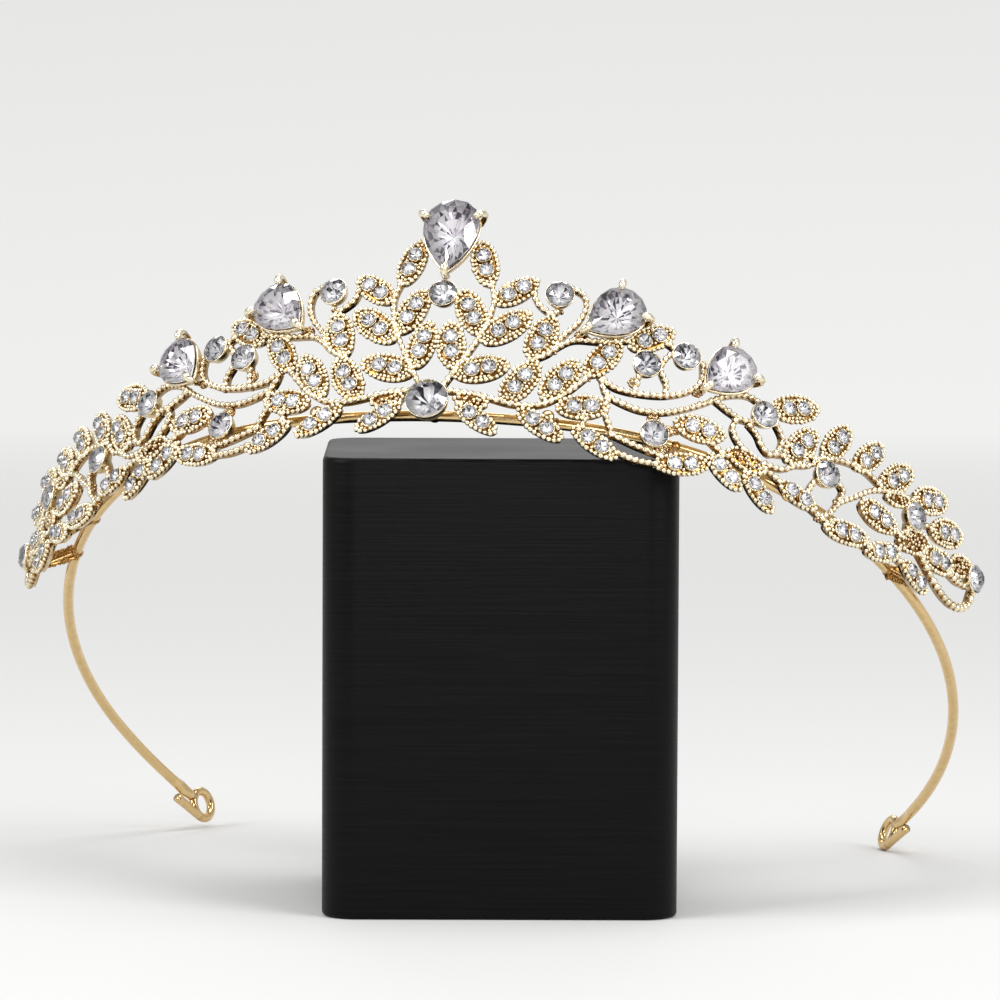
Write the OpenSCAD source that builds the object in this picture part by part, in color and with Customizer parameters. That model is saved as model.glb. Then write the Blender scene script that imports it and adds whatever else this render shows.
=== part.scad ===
// Bridal crown of leaves and vines, standing on its display block.
// All sizes are in millimetres. The floor is z = 0 and the crown is symmetric about x = 0.

/* [Headband] */
// Thickness of the round headband wire
wire_d = 1.6; // [1.4:0.1:1.8]
// Distance from the crown's centre to the front of the headband
band_front = 65.8; // [65.4:0.2:66.2]
// Angle in degrees by which the band leans back from level
tilt = 40; // [39:0.5:41]
// Radius of the round eye at each end of the band, to the middle of its wire
eye_r = 2.2; // [2:0.1:2.4]
// Length of wire turned back under each end, from the middle of the eye
tail_length = 6; // [5:0.5:8]

/* [Casting] */
// Radius of the pierced casting's arc, at its back
cast_r = 75.4; // [75:0.2:76]
// Distance from the crown's centre back to the middle of that arc
cast_back = 5.8; // [5.4:0.2:6.2]
// Angle in degrees by which the casting opens outwards as it rises
flare = 7; // [5:0.5:9]
// Thickness of a leaf
leaf_t = 1.2; // [1:0.1:1.4]
// Width of a vine
vine_w = 1.0; // [0.9:0.05:1.1]
// Height of a vine in front of the casting's back
vine_t = 1.0; // [0.9:0.05:1.1]
// Thickness of the posts that join the casting to the band
post_d = 1.8; // [1.4:0.1:2]

/* [Stones] */
// Radius of the small stones on the leaves
small_r = 1.0; // [0.9:0.02:1.04]
// Distance between the two stones of a leaf
small_pitch = 2.5; // [2.4:0.05:2.6]
// Radius of the round stones along the crown
round_r = 2; // [1.9:0.05:2.1]
// Radius of the large round stone at the bottom of the middle
middle_r = 3; // [2.9:0.1:3.2]
// Length and width of the pear stone at the top
top_pear = [11.8, 8.3];
// Length and width of the lower pear stone on each side
lower_pear = [9.6, 7.4];
// Length and width of the outer pear stone on each side
outer_pear = [8.9, 7.1];
// Clearance between a stone and the metal round it
seat_gap = 0.1; // [0.1:0.02:0.16]

/* [Display block] */
// Width of the block
block_w = 51; // [50:0.5:52]
// Depth of the block
block_d = 46; // [44:1:54]
// Height of the block
block_h = 66.1; // [64:0.1:66.1]
// Radius of the block's upright edges
block_edge = 5; // [4:0.5:6]
// Middle of the block's front face, from the crown's centre
block_at = [10.5, -53.5];
// Angle in degrees by which the block is turned under the crown
block_turn = 13; // [12:0.5:14]

/* [Hidden] */
// Arcs of the headband on each side, from the front: radius, turn in degrees
band_arcs = [
    [110, 10],
    [56, 48],
    [72, 47]
];
// Last arc on the right and on the left, whose wire is bent out a little: radius, turn in degrees
band_ends = [
    [69, 20],
    [112, 11]
];
RIGHT = 0;
LEFT = 1;
band_steps = 32;

// Outline of a leaf from its foot: share of the length, share of the width
leaf_shape = [
    [-0.5, 0], [-0.23, -0.47], [0.23, -0.47], [0.5, 0], [0.23, 0.47], [-0.23, 0.47]
];

// Places on the casting are degrees along its arc from the middle, then height above the band.

// Leaves of the right half with two stones: place, direction of the tip in degrees, length, width
leaves = [
    [3.9, 22.2, 107, 8.2, 4.3], [3.2, 14.1, -64, 8.6, 4.6], [7.6, 18, 37, 7.8, 4.1], [7.1, 12, 39, 9, 4.8],
    [11, 11, -108, 8.4, 4.5], [1.6, 8.6, -80, 8.4, 4.5], [5.1, 5, 15, 8.8, 4.7], [9.5, 3.5, -120, 8.8, 4.7],
    [13.7, 4.6, -120, 8.8, 4.7], [17.8, 9.3, -122, 8.2, 4.3], [22.5, 14.2, 37, 8, 4.2], [16.5, 1, -167, 8.2, 4.3],
    [5.4, -3, -34, 8, 3.4], [12.3, -2.9, -29, 8.4, 3.6], [18.4, -4.2, -26, 8.2, 3.5], [28.2, -4, 18, 8.8, 3.8],
    [29.4, 2.3, 2, 8.4, 4.5], [33, -2.9, -33, 7.6, 3.3], [37.3, -3.9, -38, 7.6, 3.3], [42, -1.7, -11, 7.4, 3.2],
    [39.6, 11.2, 25, 8.8, 4.7], [41.2, 6, 61, 8.4, 4.5], [45.4, 9.3, 64, 8, 4.2], [49.9, 10.1, 56, 7.8, 4.1],
    [54.2, 9.7, 47, 8.4, 4.5], [59.9, 10.5, 26, 8.6, 4.6], [63.7, 8, 24, 8.8, 4.7], [63.2, 2.9, 14, 8.2, 4.3],
    [52.9, 2.3, -2, 8.4, 4.5], [49.1, -3.2, 12, 9, 3.9], [54.6, -2.4, 28, 7.8, 3.4], [60.1, -2.4, -14, 7.2, 3.1]
];

// Rough leaves of the right half without stones: place, direction, length, width
plain_leaves = [
    [4.6, -0.3, -8, 5.5, 2.9], [35.3, 0.1, -8, 7, 3.6], [55, 6.9, 20, 5.5, 2.9], [58.7, 2.5, 28, 7.6, 4.2],
    [67.3, 5.4, 30, 7, 3.8]
];

// Vines of the right half, each a smooth line through its places
vines = [
    [[1, 1.4], [5, 0.9], [9, -0.1], [12, 0.4], [14.5, 2.8], [16.5, 6]],
    [[1.2, 1.8], [2.6, 5.3], [4.2, 9.5], [5.1, 13], [5.4, 16.5], [4.8, 19.2]],
    [[10.5, 7.4], [12.2, 9], [13.2, 11.8], [14.6, 14.4], [15.1, 17], [14.6, 19], [12.8, 20]],
    [[12.4, 9.4], [14.3, 11.4], [17, 12], [20.4, 13.2]],
    [[9.4, 18.6], [10, 16.6], [11.6, 15.2], [12.4, 16]],
    [[17.9, 6.2], [18.6, 4.2], [20.2, 3.1], [23, 2.6], [26, 3.7], [29, 6.2], [31.5, 8.8], [34, 10.2], [36.2, 9.6]],
    [[17.9, 6.4], [19.5, 5.2], [22, 5.1], [25, 5.9], [27.5, 7.7], [28.6, 10], [28.4, 12.8]],
    [[18.6, 4.3], [19.1, 2.4], [19, 0.8], [19.6, -0.8], [20.2, -2.6]],
    [[21.9, 8.4], [21.7, 5.2]],
    [[25.3, 13.6], [24.3, 11.5], [24.1, 9.6], [24.9, 7.8], [25, 6]],
    [[23.6, 14.6], [25.4, 13.6]],
    [[16.6, 0.6], [16.9, -1.2], [16.4, -3]],
    [[20, -4.6], [23, -5.3], [25.6, -5]],
    [[19.8, -2.2], [22.8, -3.1], [26, -3.6]],
    [[30.4, 7.7], [32, 6.8], [33.8, 6.2], [35.4, 6.6]],
    [[33.3, 6.2], [33, 4.4], [33.7, 2.8], [35.2, 1.4]],
    [[34.6, 6], [35.9, 4.8], [36.7, 3.4], [37.8, 2.6], [38.6, 3.6], [38.9, 5.8], [37.6, 8]],
    [[30.3, 1.4], [32, 0.2], [33.4, -0.4]],
    [[31, -1.6], [32.8, -0.4]],
    [[36.6, -0.2], [38.4, -0.2], [40, -1]],
    [[37, 0.8], [39.5, 1.2], [41.2, 2.8], [42.8, 3.9], [44.2, 6.4]],
    [[38.2, 3], [39.9, 3.6]],
    [[41.6, 5.2], [43.6, 5.2]],
    [[44.4, 3.6], [43.6, 1.4], [43.1, -0.8]],
    [[44.8, 6.4], [47.5, 7.5], [50, 7.8], [52.4, 7.2]],
    [[45.3, -3.4], [46.6, -1.4], [47.4, 0.6], [49, 2.6], [51, 5.2], [53, 6.8], [55.5, 8], [57.6, 8.6]],
    [[45.4, 4], [47.5, 3], [47.2, 0.6]],
    [[43.8, -2.4], [47, -3.6]],
    [[55.2, 2.2], [57.6, 2]],
    [[57.4, 5.2], [57.6, 2.6]],
    [[51.6, -2.6], [53.4, -3]],
    [[56, -1.2], [57.8, 1]],
    [[56.4, -1.4], [58.6, -2]],
    [[58.4, 6], [61.4, 6.9]],
    [[59.8, 1.8], [61.4, 0.8], [63.5, -0.4], [66, -1.1], [68.6, -0.6], [70.6, 1.4], [71, 4.4]],
    [[70, 4], [67.6, 3], [65, 3]]
];

// Seated round stones of the right half
rounds = [
    [12.2, 18], [22.4, 9.7], [26.4, 12.6], [24.5, -0.9], [36.1, 7.9], [44.8, 3.4], [57.7, 5.9], [70, 5.4]
];
middle_at = [0, -0.9];
upper_at = [0, 16.7];

// Seated pear stones of the right half: place, direction of the round end in degrees, length, width
pears = [
    [18.1, 16, 44, lower_pear[0], lower_pear[1]],
    [31.1, 11.9, 52, outer_pear[0], outer_pear[1]]
];
top_pear_at = [0, 26, 90, top_pear[0], top_pear[1]];

// Soldered posts of the right half: place on the casting, turn along the band
posts = [
    [13, -1, 9], [27, -3.4, 26], [41, -2, 45], [53, -3, 58], [61.5, -2.6, 66]
];

// Heights of the stones' girdles in front of the casting's back
round_seat = 1.6;
middle_seat = 2.1;
pear_seat = 2.1;
cup_lip = 0.3;
cup_wall = 0.3;
cup_floor = 0.2;
seat_open = 2.5;
claw_w = 0.8;
girdle_t = 0.25;
table_share = 0.58;
round_sides = 10;
pear_steps = 12;

// Corners of a vine's section: share of its width, share of its height
vine_section = [
    [-0.5, 0.2], [0.5, 0.2], [0, 1]
];
eye_wire = 1.4;
wire_sides = 8;

// Height of the crown's centre that sets the right eye on the floor
crown_z = eye_middle(RIGHT)[1] * sin(tilt) + eye_wire / 2
    + eye_r * norm([band_tangent(RIGHT)[1] * sin(tilt), cos(tilt)]);
// Distance of the crown's centre behind the middle of the whole object
crown_y = 11.88;

function arcs(side) = concat(band_arcs, [band_ends[side]]);
function band_end(side) = band_arcs[0][1] + band_arcs[1][1] + band_arcs[2][1] + band_ends[side][1];
function band_tangent(side) = [cos(band_end(side)), sin(band_end(side)), 0];
function eye_middle(side) = band_point(band_end(side), side) + eye_r * band_tangent(side);

// Point on the headband's middle line after a turn from the front, as if on the right side
function band_point(turn, side = RIGHT, i = 0, from = [0, -band_front], done = 0) =
    let (
        r = arcs(side)[i][0],
        stop = done + arcs(side)[i][1],
        to = min(turn, stop),
        p = from + r * [sin(to) - sin(done), cos(done) - cos(to)]
    )
    turn > stop && i < len(band_arcs) ? band_point(turn, side, i + 1, p, stop) : [p[0], p[1], 0];

// Point at an angle and a height on the casting's back, moved out in front of it
function cast_point(angle, height, out = 0) =
    let (r = cast_r + height * tan(flare) + out * cos(flare))
    [r * sin(angle), cast_back - r * cos(angle), height - out * sin(flare)];
function cast_along(angle) = [cos(angle), sin(angle), 0];
function cast_up(angle) = [sin(flare) * sin(angle), -sin(flare) * cos(angle), cos(flare)];
function cast_out(angle) = [cos(flare) * sin(angle), -cos(flare) * cos(angle), -sin(flare)];

// Frames along a vine: point, side direction, outward direction
function vine_frames(route) =
    let (
        degree = cast_r * PI / 180,
        last = len(route) - 1
    )
    [
        for (i = [0:last])
            let (
                angle = route[i][0],
                step = route[min(i + 1, last)] - route[max(i - 1, 0)],
                run = [step[0] * degree, step[1]] / norm([step[0] * degree, step[1]])
            )
            [
                cast_point(angle, route[i][1]),
                run[1] * cast_along(angle) - run[0] * cast_up(angle),
                cast_out(angle)
            ]
    ];

// Frames along the headband, from the left end to the right end
function band_frames() =
    [
        for (i = [0:band_steps])
            let (
                turn = -band_end(LEFT) + (band_end(LEFT) + band_end(RIGHT)) * i / band_steps,
                p = band_point(abs(turn), turn < 0 ? LEFT : RIGHT)
            )
            [[turn < 0 ? -p[0] : p[0], p[1], 0], [sin(turn), -cos(turn), 0], [0, 0, 1]]
    ];

// Frames round the eye at the end of one side, as if on the right
function eye_frames(side, steps = 10) =
    [
        for (i = [0:steps - 1])
            let (spoke = cos(360 * i / steps) * band_tangent(side) + sin(360 * i / steps) * [0, 0, 1])
            [eye_middle(side) + eye_r * spoke, spoke, [sin(band_end(side)), -cos(band_end(side)), 0]]
    ];

function circle_section(r, sides) = [for (i = [0:sides - 1]) r * [cos(360 * i / sides), sin(360 * i / sides)]];

// Teardrop outline with its point towards -x
function pear_outline(size) =
    [
        for (i = [0:pear_steps - 1])
            let (t = 360 * i / pear_steps)
            [-size[0] / 2 * cos(t), 0.61 * size[1] * sin(t) * pow(sin(t / 2), 0.7)]
    ];

// Solid swept along frames with one section, closed into a ring or capped at its ends
module sweep(frames, section, ring = false) {
    n = len(section);
    last = len(frames) - 1;
    corners = [for (f = frames, c = section) f[0] + c[0] * f[1] + c[1] * f[2]];
    sides = [
        for (i = [0:ring ? last : last - 1], k = [0:n - 1])
            let (
                a = i * n + k,
                b = i * n + (k + 1) % n,
                c = ((i + 1) % (last + 1)) * n + (k + 1) % n,
                d = ((i + 1) % (last + 1)) * n + k
            )
            each [[a, b, c], [a, c, d]]
    ];
    caps = ring ? [] : [[for (k = [n - 1:-1:0]) k], [for (k = [0:n - 1]) last * n + k]];
    polyhedron(corners, concat(sides, caps));
}

// Puts children on the casting's front, their x along the band and their y upwards
module on_casting(place, direction = 0, out = 0) {
    translate([0, cast_back, 0])
        rotate([0, 0, place[0]])
            translate([0, -cast_r - place[1] * tan(flare), place[1]])
                rotate([90 + flare, 0, 0])
                    rotate([0, 0, direction])
                        translate([0, 0, out])
                            children();
}

// Leans children back as the crown stands, with the right eye on the floor
module stand() {
    translate([0, crown_y, crown_z]) rotate([-tilt, 0, 0]) children();
}

module leaf(length, width) {
    linear_extrude(height = leaf_t, scale = 0.8)
        polygon([for (p = leaf_shape) [p[0] * length, p[1] * width]]);
}

// Cut stone over a flat outline: girdle on z = 0, table above, point below
module cut_stone(rise, depth) {
    hull() {
        linear_extrude(height = girdle_t) children();
        translate([0, 0, girdle_t]) linear_extrude(height = rise, scale = table_share) children();
        mirror([0, 0, 1]) linear_extrude(height = depth, scale = 0) children();
    }
}

// Metal cup round such a stone, or the hollow that the stone sits in
module cup(depth, hollow) {
    low = -depth - seat_gap - (hollow ? 0 : cup_floor);
    high = hollow ? seat_open : cup_lip;
    translate([0, 0, low])
        linear_extrude(height = high - low)
            offset(delta = seat_gap + (hollow ? 0 : cup_wall)) children();
}

module round_outline(r) {
    circle(r = r, $fn = round_sides);
}

module pear_shape(size) {
    polygon(pear_outline(size));
}

function stone_depth(width) = 0.28 * width;
function stone_rise(width) = 0.17 * width;

// Claw beside a pear stone, bent over its edge
module claw(edge) {
    away = edge / norm(edge);
    side = [away[1], -away[0], 0];
    bar = claw_w / 2;
    out = edge + (seat_gap + bar + 0.05) * away;
    over = edge - 0.5 * away;
    sweep(
        [
            [[out[0], out[1], -1.5], [away[0], away[1], 0], side],
            [[out[0], out[1], 0.75], [away[0], away[1], 0.6], side],
            [[over[0], over[1], 1.6], [0.3 * away[0], 0.3 * away[1], 0.8], side]
        ],
        [[bar, bar], [-bar, bar], [-bar, -bar], [bar, -bar]]
    );
}

module round_cup(place, r, seat, hollow) {
    on_casting(place, 0, seat) cup(stone_depth(2 * r), hollow) round_outline(r);
}

module pear_cup(p, hollow) {
    on_casting(p, p[2], pear_seat) cup(stone_depth(p[4]), hollow) pear_shape([p[3], p[4]]);
}

module claws(p) {
    outline = pear_outline([p[3], p[4]]);
    on_casting(p, p[2], pear_seat)
        for (i = [0, 4, 8]) claw(outline[i]);
}

// All cups of the crown, or all their hollows
module cups(hollow) {
    round_cup(middle_at, middle_r, middle_seat, hollow);
    round_cup(upper_at, round_r, round_seat, hollow);
    pear_cup(top_pear_at, hollow);
    both_sides() {
        for (r = rounds) round_cup(r, round_r, round_seat, hollow);
        for (p = pears) pear_cup(p, hollow);
    }
}

module both_sides() {
    children();
    mirror([1, 0, 0]) children();
}

module post(p) {
    hull() {
        translate(cast_point(p[0], p[1], 0.5)) sphere(d = post_d, $fn = 4);
        translate(band_point(p[2])) sphere(d = post_d, $fn = 4);
    }
}

// Pierced casting with its leaves, vines, cups, claws and posts
module casting() {
    difference() {
        union() {
            both_sides() {
                for (v = vines) sweep(vine_frames(v), [for (c = vine_section) [c[0] * vine_w, c[1] * vine_t]]);
                for (l = leaves) on_casting(l, l[2]) leaf(l[3], l[4]);
                for (l = plain_leaves) on_casting(l, l[2]) leaf(l[3], l[4]);
                for (p = posts) post(p);
            }
            post([0, -2, 0]);
            cups(false);
        }
        cups(true);
    }
    claws(top_pear_at);
    both_sides()
        for (p = pears) claws(p);
}

// Eye at the end of one side, with the wire turned back under it
module band_eye(side) {
    sweep(eye_frames(side), circle_section(eye_wire / 2, 6), ring = true);
    under = eye_middle(side) - [0, 0, eye_r];
    hull() {
        translate(under) sphere(d = eye_wire, $fn = 6);
        translate(under - tail_length * band_tangent(side)) sphere(d = eye_wire, $fn = 6);
    }
}

module crown_frame() {
    color([0.86, 0.72, 0.45]) stand() {
        sweep(band_frames(), circle_section(wire_d / 2, wire_sides));
        band_eye(RIGHT);
        mirror([1, 0, 0]) band_eye(LEFT);
        casting();
    }
}

module leaf_stones() {
    color([0.93, 0.93, 0.96]) stand()
        for (l = leaves, shift = [-0.5, 0.5])
            on_casting(l, l[2], leaf_t + seat_gap)
                translate([shift * small_pitch, 0, 0])
                    cylinder(r1 = small_r, r2 = small_r * 0.7, h = 0.8, $fn = 8);
}

module round_stone(place, r, seat) {
    color([0.9, 0.9, 0.95]) stand()
        on_casting(place, 0, seat) cut_stone(stone_rise(2 * r), stone_depth(2 * r)) round_outline(r);
}

module pear_stone(p) {
    color([0.95, 0.9, 0.96]) stand()
        on_casting(p, p[2], pear_seat) cut_stone(stone_rise(p[4]), stone_depth(p[4])) pear_shape([p[3], p[4]]);
}

module display_block() {
    color([0.07, 0.07, 0.08])
        translate([block_at[0], crown_y + block_at[1], 0]) rotate([0, 0, block_turn]) {
            inner_w = block_w - 2 * block_edge;
            translate([-block_w / 2, block_edge, 0]) cube([block_w, block_d - 2 * block_edge, block_h]);
            translate([-inner_w / 2, 0, 0]) cube([inner_w, block_d, block_h]);
            for (x = [-1, 1] * inner_w / 2, y = [block_edge, block_d - block_edge])
                translate([x, y, 0]) cylinder(r = block_edge, h = block_h, $fn = 64);
        }
}

crown_frame();
display_block();
mirror([1, 0, 0]) leaf_stones();  // leaf_stones_left
leaf_stones();  // leaf_stones_right
round_stone(middle_at, middle_r, middle_seat);  // middle_stone
round_stone(upper_at, round_r, round_seat);  // upper_stone
pear_stone(top_pear_at);  // pear_stone_top
for (i = [1:len(pears)]) {
    pear_stone(pears[i - 1]);
    mirror([1, 0, 0]) pear_stone(pears[i - 1]);
}
for (i = [1:len(rounds)]) {
    round_stone(rounds[i - 1], round_r, round_seat);
    mirror([1, 0, 0]) round_stone(rounds[i - 1], round_r, round_seat);
}
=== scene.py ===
"""Looks of the bridal crown on its display block. Lengths are millimetres in the crown's own
axes until to_world turns them into metres in the shared frame."""
import math

import bmesh
import bpy
import numpy as np
from mathutils import Matrix, Vector


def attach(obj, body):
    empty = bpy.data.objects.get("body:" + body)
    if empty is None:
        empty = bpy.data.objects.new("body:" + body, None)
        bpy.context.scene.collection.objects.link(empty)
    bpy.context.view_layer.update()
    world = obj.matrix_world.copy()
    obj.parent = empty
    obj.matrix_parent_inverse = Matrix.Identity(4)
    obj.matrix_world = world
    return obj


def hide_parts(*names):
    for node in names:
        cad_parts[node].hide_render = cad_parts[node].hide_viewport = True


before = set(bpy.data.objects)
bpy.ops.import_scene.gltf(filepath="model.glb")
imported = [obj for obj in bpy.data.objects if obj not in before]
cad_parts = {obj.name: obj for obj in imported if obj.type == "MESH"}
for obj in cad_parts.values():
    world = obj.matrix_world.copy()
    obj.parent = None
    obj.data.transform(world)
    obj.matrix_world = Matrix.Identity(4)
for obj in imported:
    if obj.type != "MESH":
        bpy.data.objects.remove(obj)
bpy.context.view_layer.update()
random = np.random.default_rng(7)

# Sizes shared with the part
TILT = math.radians(40)
CROWN_Y, CROWN_Z = 11.88, 29.52
CAST_R, CAST_BACK, FLARE = 75.4, 5.8, math.radians(7)
BAND_FRONT, WIRE_D = 65.8, 1.6
EYE_R, EYE_WIRE, TAIL = 2.2, 1.4, 6.0
RIGHT, LEFT = 0, 1
# Radius and angle of the headband's arcs from its front, then those of the last arc on each side
BAND_ARCS = [(110, 10), (56, 48), (72, 47)]
BAND_ENDS = [(69, 20), (112, 11)]
SMALL_R, SMALL_PITCH = 1.0, 2.5
ROUND_R, MIDDLE_R = 2.0, 3.0
BLOCK = dict(w=51.0, d=46.0, h=66.1, edge=5.0, at=(10.5, -53.5), turn=13.0)

# Leaves with two stones: angle, height, direction, length, width
LEAVES = [
    [3.9, 22.2, 107, 8.2, 4.3], [3.2, 14.1, -64, 8.6, 4.6], [7.6, 18, 37, 7.8, 4.1],
    [7.1, 12, 39, 9, 4.8], [11, 11, -108, 8.4, 4.5], [1.6, 8.6, -80, 8.4, 4.5], [5.1, 5, 15, 8.8, 4.7],
    [9.5, 3.5, -120, 8.8, 4.7], [13.7, 4.6, -120, 8.8, 4.7], [17.8, 9.3, -122, 8.2, 4.3],
    [22.5, 14.2, 37, 8, 4.2], [16.5, 1, -167, 8.2, 4.3], [5.4, -3, -34, 8, 3.4],
    [12.3, -2.9, -29, 8.4, 3.6], [18.4, -4.2, -26, 8.2, 3.5], [28.2, -4, 18, 8.8, 3.8],
    [29.4, 2.3, 2, 8.4, 4.5], [33, -2.9, -33, 7.6, 3.3], [37.3, -3.9, -38, 7.6, 3.3],
    [42, -1.7, -11, 7.4, 3.2], [39.6, 11.2, 25, 8.8, 4.7], [41.2, 6, 61, 8.4, 4.5],
    [45.4, 9.3, 64, 8, 4.2], [49.9, 10.1, 56, 7.8, 4.1], [54.2, 9.7, 47, 8.4, 4.5],
    [59.9, 10.5, 26, 8.6, 4.6], [63.7, 8, 24, 8.8, 4.7], [63.2, 2.9, 14, 8.2, 4.3],
    [52.9, 2.3, -2, 8.4, 4.5], [49.1, -3.2, 12, 9, 3.9], [54.6, -2.4, 28, 7.8, 3.4],
    [60.1, -2.4, -14, 7.2, 3.1],
]
# Leaves without stones
PLAIN_LEAVES = [
    [4.6, -0.3, -8, 5.5, 2.9], [35.3, 0.1, -8, 7, 3.6], [55, 6.9, 20, 5.5, 2.9], [58.7, 2.5, 28, 7.6, 4.2],
    [67.3, 5.4, 30, 7, 3.8],
]
# Angles and heights that each vine runs through
VINES = [
    [[1, 1.4], [5, 0.9], [9, -0.1], [12, 0.4], [14.5, 2.8], [16.5, 6]],
    [[1.2, 1.8], [2.6, 5.3], [4.2, 9.5], [5.1, 13], [5.4, 16.5], [4.8, 19.2]],
    [[10.5, 7.4], [12.2, 9], [13.2, 11.8], [14.6, 14.4], [15.1, 17], [14.6, 19], [12.8, 20]],
    [[12.4, 9.4], [14.3, 11.4], [17, 12], [20.4, 13.2]],
    [[9.4, 18.6], [10, 16.6], [11.6, 15.2], [12.4, 16]],
    [[17.9, 6.2], [18.6, 4.2], [20.2, 3.1], [23, 2.6], [26, 3.7], [29, 6.2], [31.5, 8.8], [34, 10.2],
     [36.2, 9.6]],
    [[17.9, 6.4], [19.5, 5.2], [22, 5.1], [25, 5.9], [27.5, 7.7], [28.6, 10], [28.4, 12.8]],
    [[18.6, 4.3], [19.1, 2.4], [19, 0.8], [19.6, -0.8], [20.2, -2.6]],
    [[21.9, 8.4], [21.7, 5.2]],
    [[25.3, 13.6], [24.3, 11.5], [24.1, 9.6], [24.9, 7.8], [25, 6]],
    [[23.6, 14.6], [25.4, 13.6]],
    [[16.6, 0.6], [16.9, -1.2], [16.4, -3]],
    [[20, -4.6], [23, -5.3], [25.6, -5]],
    [[19.8, -2.2], [22.8, -3.1], [26, -3.6]],
    [[30.4, 7.7], [32, 6.8], [33.8, 6.2], [35.4, 6.6]],
    [[33.3, 6.2], [33, 4.4], [33.7, 2.8], [35.2, 1.4]],
    [[34.6, 6], [35.9, 4.8], [36.7, 3.4], [37.8, 2.6], [38.6, 3.6], [38.9, 5.8], [37.6, 8]],
    [[30.3, 1.4], [32, 0.2], [33.4, -0.4]],
    [[31, -1.6], [32.8, -0.4]],
    [[36.6, -0.2], [38.4, -0.2], [40, -1]],
    [[37, 0.8], [39.5, 1.2], [41.2, 2.8], [42.8, 3.9], [44.2, 6.4]],
    [[38.2, 3], [39.9, 3.6]],
    [[41.6, 5.2], [43.6, 5.2]],
    [[44.4, 3.6], [43.6, 1.4], [43.1, -0.8]],
    [[44.8, 6.4], [47.5, 7.5], [50, 7.8], [52.4, 7.2]],
    [[45.3, -3.4], [46.6, -1.4], [47.4, 0.6], [49, 2.6], [51, 5.2], [53, 6.8], [55.5, 8], [57.6, 8.6]],
    [[45.4, 4], [47.5, 3], [47.2, 0.6]],
    [[43.8, -2.4], [47, -3.6]],
    [[55.2, 2.2], [57.6, 2]],
    [[57.4, 5.2], [57.6, 2.6]],
    [[51.6, -2.6], [53.4, -3]],
    [[56, -1.2], [57.8, 1]],
    [[56.4, -1.4], [58.6, -2]],
    [[58.4, 6], [61.4, 6.9]],
    [[59.8, 1.8], [61.4, 0.8], [63.5, -0.4], [66, -1.1], [68.6, -0.6], [70.6, 1.4], [71, 4.4]],
    [[70, 4], [67.6, 3], [65, 3]],
]
# Angle and height of each round stone
ROUNDS = [
    [12.2, 18], [22.4, 9.7], [26.4, 12.6], [24.5, -0.9], [36.1, 7.9], [44.8, 3.4], [57.7, 5.9], [70, 5.4],
]
MIDDLE_AT, UPPER_AT = [0, -0.9], [0, 16.7]
# Pear stones: angle, height, direction, length, width, and where on the outline the claws are
PEARS = [[18.1, 16, 44, 9.6, 7.4, (0, 135, 225)], [31.1, 11.9, 52, 8.9, 7.1, (0, 138, 232)]]
TOP_PEAR = [0, 26, 90, 11.8, 8.3, (0, 120, 240)]
# Solder between a cup or claw and what is beside it: angle, height, radius
FILLS = [
    [24.3, 1.8, 1.05], [26.1, 0.75, 0.9], [26.95, 1.25, 0.75], [24.5, -3.05, 0.9], [25.75, -2.5, 0.9],
    [15.1, 12.4, 1.05], [21.5, 6.8, 0.85], [28.4, 8.3, 0.9],
]
# Posts: angle and height on the casting, angle on the headband
POSTS = [[13, -1, 9], [27, -3.4, 26], [41, -2, 45], [53, -3, 58], [61.5, -2.6, 66]]
FRONT_POST = [0, -2, 0]
# How far the round, middle and pear stones stand out from the casting
ROUND_SEAT, MIDDLE_SEAT, PEAR_SEAT = 1.6, 2.1, 2.1
MM_PER_M = 1000

# Places
ROUTE_STEPS, STRAIGHT_STEPS = 24, 40


def to_world(points, mirror=False):
    """Crown axes in millimetres to the shared frame in metres."""
    p = np.array(points, float)
    c, s = math.cos(TILT), math.sin(TILT)
    x = -p[:, 0] if mirror else p[:, 0]
    y = CROWN_Y + c * p[:, 1] + s * p[:, 2]
    z = CROWN_Z - s * p[:, 1] + c * p[:, 2]
    return np.stack([x, y, z], 1) / MM_PER_M


def cast_axes(angle):
    """Directions along the casting, up it and outwards from it."""
    a = math.radians(angle)
    along = np.array([math.cos(a), math.sin(a), 0])
    up = np.array([math.sin(FLARE) * math.sin(a), -math.sin(FLARE) * math.cos(a), math.cos(FLARE)])
    out = np.array([math.cos(FLARE) * math.sin(a), -math.cos(FLARE) * math.cos(a), -math.sin(FLARE)])
    return along, up, out


def cast_point(angle, height, out=0.0):
    a = math.radians(angle)
    r = CAST_R + height * math.tan(FLARE) + out * math.cos(FLARE)
    return np.array([r * math.sin(a), CAST_BACK - r * math.cos(a), height - out * math.sin(FLARE)])


def seat(place, direction=0.0, out=0.0):
    """Function from places on a leaf or stone (x along it, y across, z outwards) to crown axes."""
    along, up, outward = cast_axes(place[0])
    d = math.radians(direction)
    axes = np.array([along * math.cos(d) + up * math.sin(d), up * math.cos(d) - along * math.sin(d), outward])
    start = cast_point(place[0], place[1]) + out * outward
    return lambda p: start + np.array(p, float) @ axes


def band_point(turn, side=RIGHT):
    """Point of the headband's middle line where it has turned by this many degrees."""
    p, done = np.array([0.0, -BAND_FRONT]), 0.0
    for r, part in BAND_ARCS + [BAND_ENDS[side]]:
        to = min(turn, done + part)
        a, b = math.radians(done), math.radians(to)
        p = p + r * np.array([math.sin(b) - math.sin(a), math.cos(a) - math.cos(b)])
        done += part
        if turn <= done:
            break
    return np.array([p[0], p[1], 0.0])


def band_end(side):
    """Degrees by which the headband has turned where its eye starts."""
    return sum(part for _, part in BAND_ARCS) + BAND_ENDS[side][1]


def run_along(line):
    """Distance of each point from the first one, measured along the line."""
    return np.concatenate([[0], np.cumsum(np.linalg.norm(np.diff(line, axis=0), axis=1))])


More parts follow.
